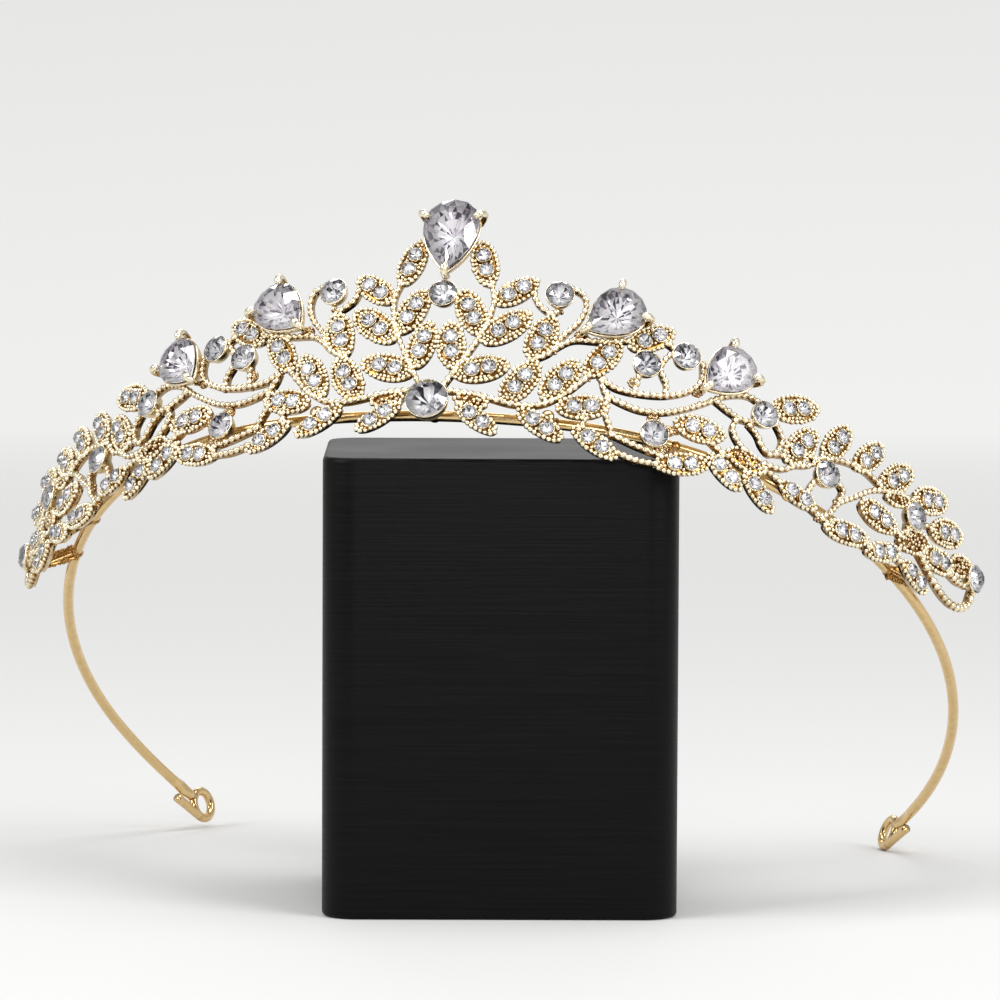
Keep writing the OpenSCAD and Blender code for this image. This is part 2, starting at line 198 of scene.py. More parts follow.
def points_at(line, run, want):
    """Points of a flat line at the wanted distances along it."""
    return np.stack([np.interp(want, run, line[:, k]) for k in (0, 1)], 1)


def directions(line):
    """Unit vectors along a line."""
    travel = np.gradient(line, axis=0)
    return travel / np.linalg.norm(travel, axis=1)[:, None]


def fine_curve(p):
    """Catmull-Rom curve through points."""
    ends = np.vstack([2 * p[0] - p[1], p, 2 * p[-1] - p[-2]])
    t = np.linspace(0, 1, ROUTE_STEPS, endpoint=False)[:, None]
    parts = []
    for i in range(len(p) - 1):
        a, b, c, d = ends[i:i + 4]
        square = (2 * a - 5 * b + 4 * c - d) * t**2
        cube = (3 * b - a - 3 * c + d) * t**3
        parts.append(0.5 * (2 * b + (c - a) * t + square + cube))
    return np.vstack(parts + [p[-1:]])


def smooth_route(route, step):
    """Places spaced by step along a curve through the route, as (angle, height) rows, and its length."""
    degree = CAST_R * math.pi / 180
    p = np.array(route, float) * [degree, 1]
    if len(p) == 2:
        fine = p[0] + np.linspace(0, 1, STRAIGHT_STEPS)[:, None] * (p[1] - p[0])
    else:
        fine = fine_curve(p)
    run = run_along(fine)
    count = max(2, int(round(run[-1] / step)) + 1)
    places = points_at(fine, run, np.linspace(0, run[-1], count))
    return places / [degree, 1], run[-1]


# Mesh building
TABLE_SIDES, TABLE_SHADE = 8, -0.18
# Painted shade of a bead at its waist, and how much lighter it is painted at its top
BEAD_SHADE, BEAD_SHADE_FALL = 0.44, 0.72


def new_piece(name, points, faces, smooth, materials):
    """Object with a mesh of its own; smooth holds one value for each face."""
    mesh = bpy.data.meshes.new(name)
    mesh.from_pydata(points, [], faces)
    mesh.update()
    mesh.polygons.foreach_set("use_smooth", smooth)
    for m in materials:
        mesh.materials.append(m)
    piece = bpy.data.objects.new(name, mesh)
    bpy.context.scene.collection.objects.link(piece)
    return piece


def add_attribute(piece, name, domain, values):
    attribute = piece.data.attributes.new(name, "FLOAT", domain)
    attribute.data.foreach_set("value", np.array(values, np.float32))


class Shape:
    """Points, faces, a material slot per face and a painted shade value per point (0 in the open, 1 deep in
    the metal, where the gold is painted darkest).
    """

    def __init__(self):
        self.points, self.faces, self.slots, self.recess, self.count = [], [], [], [], 0

    def add(self, points, faces, recess=0.0, slot=0, mirror=False):
        self.points.append(to_world(points, mirror))
        for f in faces:
            f = [int(i) + self.count for i in f]
            self.faces.append(f[::-1] if mirror else f)
        self.slots += np.broadcast_to(slot, (len(faces),)).tolist()
        self.recess.append(np.broadcast_to(np.array(recess, float), (len(points),)))
        self.count += len(points)

    def make(self, name, materials, smooth=True):
        points = np.vstack(self.points).tolist()
        piece = new_piece(name, points, self.faces, [smooth] * len(self.faces), materials)
        piece.data.polygons.foreach_set("material_index", self.slots)
        # Painted shade per point, which the gold materials turn into darker colour in hollows and under parts
        add_attribute(piece, "recess", "POINT", np.concatenate(self.recess))
        if not smooth:
            # Random value per facet: painted sparkle on the foiled back, and how strongly each front facet
            # mirrors
            shades = random.uniform(0, 1, len(self.faces))
            shades[[len(f) == TABLE_SIDES for f in self.faces]] = TABLE_SHADE
            add_attribute(piece, "painted_sparkle_and_mirror", "FACE", shades)
        return piece


def ball(subdivisions):
    b = bmesh.new()
    bmesh.ops.create_icosphere(b, subdivisions=subdivisions, radius=1.0)
    points = np.array([v.co for v in b.verts])
    faces = np.array([[v.index for v in f.verts] for f in b.faces])
    b.free()
    return points, faces


GRAIN, BEAD, BLOB = ball(1), ball(2), ball(3)


def add_beads(shape, where, centres, radii, mirror, flat, kind=GRAIN, extra_shade=0.0):
    """Beads at centres given in the axes of `where`, `flat` times as high as wide; the last argument adds
    painted shade that makes them darker.
    """
    ball_points, ball_faces = kind
    radii = np.broadcast_to(radii, (len(centres),))
    size = np.stack([radii, radii, radii * flat], 1)
    points = (np.array(centres)[:, None, :] + size[:, None, :] * ball_points[None]).reshape(-1, 3)
    faces = (ball_faces[None] + len(ball_points) * np.arange(len(centres))[:, None, None]).reshape(-1, 3)
    # Painted shade: darker at and below the bead's waist, lighter towards its top
    deep = np.tile(np.clip(BEAD_SHADE - BEAD_SHADE_FALL * ball_points[:, 2] + extra_shade, 0, 1), len(centres))
    shape.add(where(points), faces, deep, mirror=mirror)


def rings_to_faces(rings, sides, closed=False, caps=True):
    """Strips of faces between rings of points, then a cap at each end unless they are closed or left off."""
    faces = []
    for i in range(rings if closed else rings - 1):
        j = (i + 1) % rings
        for k in range(sides):
            m = (k + 1) % sides
            faces.append([i * sides + k, i * sides + m, j * sides + m, j * sides + k])
    if caps and not closed:
        faces.append(list(range(sides - 1, -1, -1)))
        faces.append([(rings - 1) * sides + k for k in range(sides)])
    return faces


def turned(faces):
    """The same faces seen from their other side."""
    return [f[::-1] for f in faces]


# Strips of a plate or wall that face backward
BACK_STRIPS = 4


def back_slots(rings, sides):
    """Slot 1 for the strips and the cap that face backward, and slot 0 for the rest."""
    return [1] * (BACK_STRIPS * sides) + [0] * ((rings - 1 - BACK_STRIPS) * sides) + [1, 0]


def sweep(centres, across, over, section, size=1.0):
    """Points of a section carried along centres; section rows are (across, over), size is its scale."""
    section = np.array(section, float)
    size = np.broadcast_to(size, (len(centres),))[:, None, None]
    spread = section[None, :, :1] * across[:, None, :] + section[None, :, 1:] * over[:, None, :]
    return (centres[:, None, :] + size * spread).reshape(-1, 3)


def circle(r, sides, start=0.0):
    t = np.linspace(0, 2 * math.pi, sides, endpoint=False) + start
    return np.stack([r * np.cos(t), r * np.sin(t)], 1)


def level(flat, z):
    """Flat points put at one height."""
    return np.column_stack([flat, np.full(len(flat), z)])


# Leaves
RIM_R, RIM_PITCH, RIM_HEIGHT, RIM_STRETCH = 0.36, 0.76, 0.76, 1.25
RIM_SIZES, RIM_SHIFT, RIM_LIFT = (0.84, 1.12), 0.06, 0.07
RIM_STEPS, LEAF_POINT = 160, 1.12
# The spacing of the rows of grains is a share of their pitch
GRAIN_R, GRAIN_PITCH, ROW_SHARE, GRAIN_STRETCH = 0.3, 0.61, 0.87, 1.2
# Height, spread and sizes of the grains on a leaf with stones, then on a rough one, with the painted shade
# added to the rough one's grains
GRAIN_HEIGHT, GRAIN_SPREAD, GRAIN_SIZES = 0.82, 0.05, (0.85, 1.15)
ROUGH_HEIGHT, ROUGH_SPREAD, ROUGH_SIZES, ROUGH_SHADE = 0.78, 0.26, (0.8, 1.3), 0.4
# Half length and half width of the field of grains, and the power of the outline that they keep inside
FIELD, FIELD_POWER = (6, 3), 0.56
RIM_CLEAR, STONE_CLEAR = 0.06, 0.2
LEAF_TOP, PLATE_SIDES, PLATE_INSET = 0.68, 28, 0.08
# Rings of a leaf's plate from its back to its front: scale of the outline, height, painted shade
PLATE_ROWS = [
    (0.35, -0.12, 0.5), (0.7, -0.16, 0.55), (0.84, -0.29, 0.3), (0.92, -0.3, 0.2), (1.0, -0.18, 0.3),
    (1.0, LEAF_TOP - 0.15, 0.6), (0.9, LEAF_TOP, 0.68), (0.6, LEAF_TOP - 0.08, 0.72),
    (0.3, LEAF_TOP - 0.1, 0.72),
]
# Rings of the wall about a small stone: radius, height, painted shade
COLLAR_R, COLLAR_SIDES = SMALL_R + 0.05, 20
COLLAR_ROWS = [
    (COLLAR_R + 0.1, 0.5, 0.9), (COLLAR_R + 0.1, 1.25, 0.25), (COLLAR_R + 0.04, 1.3, 0.0),
    (COLLAR_R, 1.27, 0.3), (COLLAR_R, 0.5, 0.9),
]
PRONGS, PRONG_AT, PRONG_HEIGHT, PRONG_R, PRONG_STRETCH, PRONG_TURN = 4, SMALL_R + 0.12, 1.36, 0.2, 1.3, 0.2
STONE_PLACES = (-SMALL_PITCH / 2, SMALL_PITCH / 2)


def leaf_line(length, width, count):
    """Outline of a leaf, pointed at both ends."""
    t = np.linspace(0, 2 * math.pi, count, endpoint=False)
    s = np.sin(t)
    return np.stack([-length / 2 * np.cos(t), width / 2 * np.sign(s) * np.abs(s) ** LEAF_POINT], 1)


def even_places(line, pitch):
    """Places spaced evenly round a closed line, about a pitch apart."""
    closed = np.vstack([line, line[:1]])
    run = run_along(closed)
    count = int(round(run[-1] / pitch))
    return points_at(closed, run, np.linspace(0, run[-1], count, endpoint=False))


def add_leaf_plate(shape, where, length, width, mirror):
    """Plate of a leaf: upright edge, rounded shoulder and a hollowed middle."""
    inset = 2 * RIM_R + PLATE_INSET
    outline = leaf_line(length - inset, width - inset, PLATE_SIDES)
    points = [level(outline * scale, z) for scale, z, _ in PLATE_ROWS]
    recess = np.repeat([deep for _, _, deep in PLATE_ROWS], PLATE_SIDES)
    faces = rings_to_faces(len(PLATE_ROWS), PLATE_SIDES)
    shape.add(where(np.vstack(points)), faces, recess, back_slots(len(PLATE_ROWS), PLATE_SIDES), mirror)


def add_rim(shape, where, length, width, mirror):
    """Row of beads round a leaf."""
    line = even_places(leaf_line(length - 2 * RIM_R, width - 2 * RIM_R, RIM_STEPS), RIM_PITCH)
    size = RIM_R * random.uniform(*RIM_SIZES, len(line))
    line = line + random.uniform(-RIM_SHIFT, RIM_SHIFT, line.shape)
    centres = np.column_stack([line, RIM_HEIGHT + random.uniform(-RIM_LIFT, RIM_LIFT, len(line))])
    add_beads(shape, where, centres, size, mirror, RIM_STRETCH, BEAD)


def add_leaf_body(shape, row, mirror):
    """Plate and rim of a leaf."""
    where = seat(row, row[2])
    add_leaf_plate(shape, where, row[3], row[4], mirror)
    add_rim(shape, where, row[3], row[4], mirror)
    return where


def add_collar(shape, where, x, mirror):
    """Thin round wall about a small stone."""
    points = [level(circle(r, COLLAR_SIDES) + [x, 0], z) for r, z, _ in COLLAR_ROWS]
    recess = np.repeat([deep for _, _, deep in COLLAR_ROWS], COLLAR_SIDES)
    shape.add(where(np.vstack(points)), rings_to_faces(len(COLLAR_ROWS), COLLAR_SIDES), recess, mirror=mirror)


def leaf_grains(length, width, stones, spread):
    """Places of the grains that fill a leaf inside its rim, clear of the stones."""
    rows = []
    for j, y in enumerate(np.arange(-FIELD[1], FIELD[1], GRAIN_PITCH * ROW_SHARE)):
        for x in np.arange(-FIELD[0], FIELD[0], GRAIN_PITCH) + 0.5 * GRAIN_PITCH * (j % 2):
            if abs(x) >= length / 2:
                continue
            half = width / 2 * (1 - (2 * x / length) ** 2) ** FIELD_POWER
            if abs(y) > half - 2 * RIM_R - RIM_CLEAR:
                continue
            if any(math.hypot(x - c, y) < SMALL_R + STONE_CLEAR for c in stones):
                continue
            rows.append([x, y, 0])
    rows = np.array(rows)
    return rows + random.uniform(-spread, spread, rows.shape)


def add_stone_leaf(shape, row, mirror):
    """Leaf with two stones, each in a thin wall and held by four beads."""
    where = add_leaf_body(shape, row, mirror)
    for x in STONE_PLACES:
        add_collar(shape, where, x, mirror)
        turn = math.pi / PRONGS + random.uniform(-PRONG_TURN, PRONG_TURN)
        prongs = level(circle(PRONG_AT, PRONGS, turn) + [x, 0], PRONG_HEIGHT)
        add_beads(shape, where, prongs, PRONG_R, mirror, PRONG_STRETCH)
    grains = leaf_grains(row[3], row[4], STONE_PLACES, GRAIN_SPREAD) + [0, 0, GRAIN_HEIGHT]
    size = GRAIN_R * random.uniform(*GRAIN_SIZES, len(grains))
    add_beads(shape, where, grains, size, mirror, GRAIN_STRETCH)


def add_rough_leaf(shape, row, mirror):
    """Leaf without stones, grained all over, its grains darkened with painted shade."""
    where = add_leaf_body(shape, row, mirror)
    grains = leaf_grains(row[3], row[4], (), ROUGH_SPREAD) + [0, 0, ROUGH_HEIGHT]
    size = GRAIN_R * random.uniform(*ROUGH_SIZES, len(grains))
    add_beads(shape, where, grains, size, mirror, GRAIN_STRETCH, extra_shade=ROUGH_SHADE)


# Vines
ROPE_R, ROPE_PITCH, ROPE_SLANT, ROPE_HEIGHT, ROPE_SIDES = 0.49, 0.98, 0.4, 0.62, 8
# Girth of one bead of the rope, from one neck to the next
ROPE_SWELL = np.array([0.5, 0.8, 0.97, 1.03, 0.97, 0.8])
ROPE_SIZES, ROPE_END = (0.88, 1.1), 0.35
# Painted shade of the rope at its waist, how it lightens towards the top, and how it grows into the necks
ROPE_SHADE, ROPE_SHADE_FALL, NECK_SHADE = 0.4, 0.45, 1.1
BAR_SECTION = [[-0.3, -0.3], [0.3, -0.3], [0.24, 0.6], [-0.24, 0.6]]
# The first list is the painted shade at each corner of the bar's section, darkest at the edges under the rope
BAR_SHADE, BAR_SLOTS, BAR_SKIP = [0.4, 0.4, 0.9, 0.9], [1, 0, 0, 0], 3
END_LOOP, END_LOOP_THICK, END_LOOP_PITCH = 34, 1.3, 1.15
# The last value of the patch row and of each pad row is painted shade that darkens those grains
PATCH_GRAINS, PATCH_SPREAD, PATCH_HEIGHTS, PATCH_SIZES, PATCH_SHADE = 7, 0.42, (-0.1, 0.4), (0.22, 0.36), 0.5
PAD_FLAT, PAD_SHADE = 0.42, 0.6
# Height of a pad, height of the grains at its edge, and their rise to its middle as a share of its radius
PAD_HEIGHT, PAD_EDGE, PAD_DOME = 0.12, 0.15, 0.38
PAD_GRAINS, PAD_REACH, PAD_SIZES, PAD_GRAIN_SHADE = 26, 0.95, (0.18, 0.28), 0.55


def add_bar(shape, origin, across, outward, mirror):
    """Narrow bar under a beaded wire, satin at its back."""
    rings, sides = len(origin), len(BAR_SECTION)
    slots = BAR_SLOTS * (rings - 1) + [0, 0]
    points = sweep(origin, across, outward, BAR_SECTION)
    shape.add(points, rings_to_faces(rings, sides), np.tile(BAR_SHADE, rings), slots, mirror)


def rope_swell(beads, count):
    """Girth along a beaded wire whose beads differ a little, with thin ends."""
    steps = len(ROPE_SWELL)
    swell = ROPE_SWELL[np.arange(count) % steps]
    swell = swell * np.repeat(random.uniform(*ROPE_SIZES, beads + 1), steps)[:count]
    swell[0] = swell[-1] = ROPE_END
    return swell


def add_vine(shape, route, mirror, thick=1.0, pitch=ROPE_PITCH):
    """Beaded wire on a narrow bar."""
    _, length = smooth_route(route, pitch)
    beads = max(1, round(length / pitch))
    places, _ = smooth_route(route, length / (beads * len(ROPE_SWELL)))
    origin = np.array([cast_point(a, h) for a, h in places])
    outward = np.array([cast_axes(a)[2] for a, _ in places])
    travel = directions(origin)
    across = np.cross(outward, travel)
    add_bar(shape, origin[::BAR_SKIP], across[::BAR_SKIP], outward[::BAR_SKIP], mirror)
    swell = rope_swell(beads, len(places))
    section = circle(1.0, ROPE_SIDES, math.pi / ROPE_SIDES)
    middle = origin + ROPE_HEIGHT * outward
    points = sweep(middle, across + ROPE_SLANT * travel, outward, section, thick * ROPE_R * swell)
    # Painted shade: darker towards the bar and in the necks between beads, lighter on top
    deep = ROPE_SHADE - ROPE_SHADE_FALL * section[:, 1][None, :] + NECK_SHADE * (1 - swell[:, None])
    shape.add(points, rings_to_faces(len(places), ROPE_SIDES), np.clip(deep, 0, 1).reshape(-1), mirror=mirror)


def add_patch(shape, place, mirror):
    """Rough spot of grains where wires meet, darkened with painted shade."""
    flat = random.uniform(-PATCH_SPREAD, PATCH_SPREAD, (PATCH_GRAINS, 2))
    centres = np.column_stack([flat, random.uniform(*PATCH_HEIGHTS, PATCH_GRAINS)])
    size = random.uniform(*PATCH_SIZES, PATCH_GRAINS)
    add_beads(shape, seat(place), centres, size, mirror, 1.0, extra_shade=PATCH_SHADE)


def add_fill(shape, row, mirror):
    """Flat pad of solder with rough grains on it, both darkened with painted shade."""
    where, size = seat(row), row[2]
    add_beads(shape, where, np.array([[0, 0, PAD_HEIGHT]]), [size], mirror, PAD_FLAT, BLOB, PAD_SHADE)
    turn = random.uniform(0, 2 * math.pi, PAD_GRAINS)
    reach = size * PAD_REACH * np.sqrt(random.uniform(0, 1, PAD_GRAINS))
    height = PAD_EDGE + PAD_DOME * size * np.sqrt(1 - (reach / size) ** 2)
    centres = np.column_stack([reach * np.cos(turn), reach * np.sin(turn), height])
    grains = random.uniform(*PAD_SIZES, PAD_GRAINS)
    add_beads(shape, where, centres, grains, mirror, 1.0, extra_shade=PAD_GRAIN_SHADE)


# Stones and settings
GIRDLE_SIDES, SMALL_BACK, ROUND_BACK, PEAR_BACK = 16, 16, 16, 32
# Rows of facets on a stone's back: scale of the outline, share of the depth
SMALL_ROWS = [(0.6, 0.42)]
ROUND_ROWS = [(0.74, 0.27), (0.38, 0.64)]
PEAR_ROWS = [(0.87, 0.15), (0.7, 0.32), (0.5, 0.52), (0.27, 0.76)]
# Scale and height of the ring between the table and the girdle, and how unevenly the back is cut
STAR_SCALE, STAR_RISE, BACK_DEEP, BACK_SHIFT = 1.02, 0.52, 0.05, 0.02
# Rise of the front and depth of the back as shares of a large stone's width, and scale of its table
RISE, DEPTH, TABLE = 0.17, 0.28, 0.56
ROUND_GIRDLE, LARGE_GIRDLE = 0.2, 0.25
ROUND_TURN = 13
SMALL_SEAT, SMALL_OVER, SMALL_RISE, SMALL_DEPTH, SMALL_GIRDLE, SMALL_TABLE = 1.38, 0.04, 0.42, 0.45, 0.08, 0.6
PEAR_SWELL, PEAR_POWER, PEAR_MIDDLE = 0.61, 0.7, 0.08
ROUND_WALL_SIDES, PEAR_WALL_SIDES = 32, 48
CLAW_PATH = [
    (-0.1, -1.9), (0.55, -1.0), (0.95, -0.2), (0.8, 0.42), (0.4, 0.86), (-0.05, 1.0), (-0.45, 0.98),
    (-0.7, 0.88),
]
CLAW_GIRTH = np.array([0.36, 0.42, 0.44, 0.5, 0.56, 0.58, 0.5, 0.22])
# The first list is the painted shade along the claw, darkest at its foot
CLAW_SHADE, CLAW_SIDES = [0.9, 0.7, 0.4, 0.1, 0, 0, 0, 0.1], 10


def pear_point(t, length, width):
    """Point on a teardrop whose point is towards -x; t in radians."""
    s = math.sin(t)
    return np.array([-length / 2 * math.cos(t), PEAR_SWELL * width * s * abs(math.sin(t / 2)) ** PEAR_POWER])


def pear_middle(length):
    return np.array([length * PEAR_MIDDLE, 0])


def round_point(t, r):
    return np.array([-r * math.cos(t), r * math.sin(t)])


def front_facets():
    """Table, stars and kites between a ring of 8 points, another ring of 8 and one of 16."""
    star, girdle = TABLE_SIDES, 2 * TABLE_SIDES
    faces = [list(range(TABLE_SIDES))]
    for k in range(TABLE_SIDES):
        a, b, m, before = k, (k + 1) % TABLE_SIDES, star + k, star + (k - 1) % TABLE_SIDES
        e, o, f = girdle + 2 * k, girdle + 2 * k + 1, girdle + (2 * k + 2) % GIRDLE_SIDES
        faces += [[a, m, b], [a, e, m], [a, before, e], [m, e, o], [m, o, f]]
    return faces


def girdle_facets(upper, lower):
    """Facets round a stone's edge."""
    around = [(k, (k + 1) % GIRDLE_SIDES) for k in range(GIRDLE_SIDES)]
    return [[upper + k, lower + k, lower + j, upper + j] for k, j in around]


def back_facets(base, size, count, sides, odd):
    """Facets from a ring of points to the next row, which has as many points or twice as many."""
    faces = []
    for k in range(size):
        a, b = base + k, base + (k + 1) % size
        if sides == 2 * size:
            c, d, e = count + 2 * k, count + 2 * k + 1, count + (2 * k + 2) % sides
            faces += [[a, c, d], [a, d, b], [b, d, e]]
        else:
            c, d = count + k, count + (k + 1) % sides
            faces += [[a, c, b], [b, c, d]] if odd else [[a, c, d], [a, d, b]]
    return faces


def add_stone(shape, where, outline, centre, rise, depth, girdle, table, mirror, back_rows, back_sides):
    """Brilliant cut over an outline: table, stars, kites and girdle facets, with a facetted back."""

    def ring(line, scale, z):
        return level(centre + scale * (line - centre), z)

    line = np.array([outline(2 * math.pi * i / GIRDLE_SIDES) for i in range(GIRDLE_SIDES)])
    star_scale = (1 + table) / 2 * STAR_SCALE
    points = [ring(line[::2], table, girdle + rise), ring(line[1::2], star_scale, girdle + rise * STAR_RISE),
              ring(line, 1.0, girdle), ring(line, 1.0, 0.0)]
    faces = front_facets()
    front = len(faces)
    upper = 2 * TABLE_SIDES
    base, size = upper + GIRDLE_SIDES, GIRDLE_SIDES
    faces += girdle_facets(upper, base)
    count = base + size
    for i, (scale, deep) in enumerate(back_rows):
        turns = [2 * math.pi * (q + 0.5 * (i % 2)) / back_sides for q in range(back_sides)]
        row = ring(np.array([outline(t) for t in turns]), scale, 0.0)
        row[:, 2] = -depth * (deep + random.uniform(-BACK_DEEP, BACK_DEEP, back_sides))
        row[:, :2] += random.uniform(-BACK_SHIFT, BACK_SHIFT, (back_sides, 2)) * np.linalg.norm(line[0])
        points.append(row)
        faces += back_facets(base, size, count, back_sides, i % 2)
        base, count, size = count, count + back_sides, back_sides
    points.append(level([centre], -depth))
    faces += [[base + k, count, base + (k + 1) % size] for k in range(size)]
    slots = [0] * front + [1] * (len(faces) - front)
    shape.add(where(np.vstack(points)), turned(faces), slot=slots, mirror=mirror)


def add_small_stone(shape, row, x, mirror):
    middle, r = np.array([x, 0]), SMALL_R + SMALL_OVER
    add_stone(shape, seat(row, row[2], SMALL_SEAT), lambda t: middle + round_point(t, r), middle,
              SMALL_RISE, SMALL_DEPTH, SMALL_GIRDLE, SMALL_TABLE, mirror, SMALL_ROWS, SMALL_BACK)


def add_wall(shape, where, outline, centre, rows, mirror, sides):
    """Wall round a stone. Rows are (distance outside the outline, scale of the outline, height, painted
    shade).
    """
    line = np.array([outline(t) for t in np.linspace(0, 2 * math.pi, sides, endpoint=False)])
    along = np.roll(line, -1, axis=0) - np.roll(line, 1, axis=0)
    along /= np.linalg.norm(along, axis=1)[:, None]
    away = np.stack([-along[:, 1], along[:, 0]], 1)
    points = [level(centre + scale * (line - centre) + distance * away, z) for distance, scale, z, _ in rows]
    recess = np.repeat([row[3] for row in rows], sides)
    faces = turned(rings_to_faces(len(rows), sides))
    shape.add(where(np.vstack(points)), faces, recess, back_slots(len(rows), sides), mirror)


def add_round_setting(metal, place, r, seat_out, mirror):
    """Cup with rounded shoulders under a round stone."""
    low, depth = -seat_out, DEPTH * 2 * r
    # Each row ends in the painted shade of that ring
    rows = [
        (0, 0.4, low, 0.3), (0, 0.78, low, 0.3), (0, 0.84, low + 0.08, 0.2), (0, 0.92, low + 0.5, 0.3),
        (0.06, 1, -0.6, 0.4), (0.13, 1, -0.05, 0.2), (0.12, 1, 0.08, 0), (0.03, 1, 0.1, 0.1),
        (0.03, 1, 0, 0.6), (0.02, 0.97, -0.2, 0.6), (0.02, 0.7, -0.3 * depth - 0.25, 1),
        (0, 0.06, -depth - 0.12, 1),
    ]
    where = seat(place, 0, seat_out)
    add_wall(metal, where, lambda t: round_point(t, r), np.zeros(2), rows, mirror, ROUND_WALL_SIDES)


def add_claw(metal, where, edge, mirror):
    """Claw bent over a stone's edge."""
    away = edge / np.linalg.norm(edge)
    path = np.array([[*(edge + spread * away), z] for spread, z in CLAW_PATH])
    travel = directions(path)
    across = np.tile([-away[1], away[0], 0.0], (len(path), 1))
    section = circle(1.0, CLAW_SIDES)
    points = sweep(path, across, np.cross(travel, across), section, CLAW_GIRTH)
    faces = turned(rings_to_faces(len(path), CLAW_SIDES))
    metal.add(where(points), faces, np.repeat(CLAW_SHADE, CLAW_SIDES), mirror=mirror)


def add_pear_setting(metal, p, mirror):
    """Open gallery under a pear stone, with three claws bent over its edge."""
    where = seat(p, p[2], PEAR_SEAT)
    length, width, turns = p[3:]
    depth = DEPTH * width
    low = -depth - 0.3
    # Each row ends in the painted shade of that ring
    rows = [
        (0, 0.4, low, 0.3), (0, 0.8, low, 0.3), (0, 0.86, low + 0.12, 0.2), (0, 0.93, low + 0.7, 0.3),
        (0.02, 1, -0.95, 0.5), (0.14, 1, -0.7, 0.2), (0.16, 1, -0.5, 0.05), (0.1, 1, -0.36, 0.1),
        (0.02, 0.97, -0.36, 0.4), (0.03, 0.6, -0.4 * depth - 0.3, 1), (0, 0.06, -depth - 0.12, 1),
    ]
    add_wall(metal, where, lambda t: pear_point(t, length, width), pear_middle(length), rows, mirror,
             PEAR_WALL_SIDES)
    for turn in turns:
        add_claw(metal, where, pear_point(math.radians(turn), length, width), mirror)


# Wire work
# The last value is the painted shade given to the headband, its eyes and tails
BAND_STEPS, BAND_SIDES, WIRE_SHADE = 300, 20, 0.1
# The paddle before each eye: distance from the eye, length, and how much thinner and wider it is
PADDLE_AT, PADDLE_LENGTH, PADDLE_THIN, PADDLE_WIDE = 3.2, 1.5, 0.4, 0.5
EYE_STEPS, EYE_SIDES, TAIL_STEPS, TAIL_TIP, TAIL_SWELL = 40, 14, 14, 1.2, 1.05
# The fourth value is the painted shade of the posts
POST_R, POST_STEPS, POST_SIDES, POST_SHADE, POST_SUNK = 0.65, 6, 12, 0.5, 0.1
# Solder at a post's two ends: height, radius, flatness; then the painted shade that darkens it
CAST_BLOB, BAND_BLOB, BLOB_SHADE = (0.1, 0.95, 0.5), (0, 1.05, 0.9), 0.2
# The fifth value is the painted shade of the end tabs
TAB_THIN, TAB_WIDE, TAB_SIDES, TAB_STEPS, TAB_SHADE, TAB_RAISED = 0.4, 1.3, 16, 8, 0.8, 0.6
# The last value is the painted shade of the tab's grains
TAB_GRAINS, TAB_GRAIN_SIZES, TAB_GRAIN_SHADE = 90, (0.2, 0.32), 0.15
GRAIN_THIN, GRAIN_WIDE = 0.36, 1.25


def wire(shape, centres, r, sides, recess, mirror):
    """Straight round wire along points in crown axes."""
    centres = np.array(centres, float)
    travel = directions(centres)
    across = np.cross(travel, np.array([0, 0, 1.0]))
    across /= np.linalg.norm(across, axis=1)[:, None]
    points = sweep(centres, across, np.cross(across, travel), circle(1.0, sides), r)
    shape.add(points, turned(rings_to_faces(len(centres), sides)), recess, mirror=mirror)


def add_band(shape):
    """Headband wire, flattened into a small paddle before each eye."""
    section = circle(WIRE_D / 2, BAND_SIDES)
    points = []
    for t in np.linspace(-band_end(LEFT), band_end(RIGHT), BAND_STEPS):
        side = LEFT if t < 0 else RIGHT
        x, y, _ = band_point(abs(t), side)
        a = math.radians(t)
        inward = np.array([-math.sin(a), math.cos(a), 0])
        left = (band_end(side) - abs(t)) * math.radians(BAND_ENDS[side][0])
        flat = math.exp(-((left - PADDLE_AT) / PADDLE_LENGTH) ** 2)
        rows = section * [1 - PADDLE_THIN * flat, 1 + PADDLE_WIDE * flat]
        middle = np.array([-x if t < 0 else x, y, 0])
        points.append(middle + rows[:, :1] * inward + rows[:, 1:] * [0, 0, 1])
    shape.add(np.vstack(points), rings_to_faces(BAND_STEPS, BAND_SIDES), WIRE_SHADE)


def add_eye(shape, side):
    """Round eye at the headband's end, with the wire turned back under it."""
    mirror = side == LEFT
    end = math.radians(band_end(side))
    tangent = np.array([math.cos(end), math.sin(end), 0])
    normal = np.array([math.sin(end), -math.cos(end), 0])
    up = np.array([0, 0, 1.0])
    middle = band_point(band_end(side), side) + EYE_R * tangent
    section = circle(EYE_WIRE / 2, EYE_SIDES)
    points = []
    for t in np.linspace(0, 2 * math.pi, EYE_STEPS, endpoint=False):
        spoke = math.cos(t) * tangent + math.sin(t) * up
        points.append(middle + EYE_R * spoke + section[:, :1] * spoke + section[:, 1:] * normal)
    shape.add(np.vstack(points), rings_to_faces(EYE_STEPS, EYE_SIDES, True), WIRE_SHADE, mirror=mirror)
    run = np.linspace(0, TAIL, TAIL_STEPS)
    tail = [middle - EYE_R * up - s * tangent for s in run]
    size = EYE_WIRE / 2 * np.where(run > TAIL - TAIL_TIP, TAIL_SWELL, 1.0)
    wire(shape, tail, size, EYE_SIDES, WIRE_SHADE, mirror)


def add_post(shape, p, mirror=False):
    """Round wire between casting and band, soldered at both ends."""
    a, b = cast_point(p[0], p[1], -POST_SUNK), band_point(p[2])
    line = [a + (b - a) * t for t in np.linspace(0, 1, POST_STEPS)]
    wire(shape, line, POST_R, POST_SIDES, POST_SHADE, mirror)
    for where, (height, r, flat) in ((seat(p), CAST_BLOB), (lambda c: b + c, BAND_BLOB)):
        add_beads(shape, where, np.array([[0, 0, height]]), [r], mirror, flat, BLOB, BLOB_SHADE)


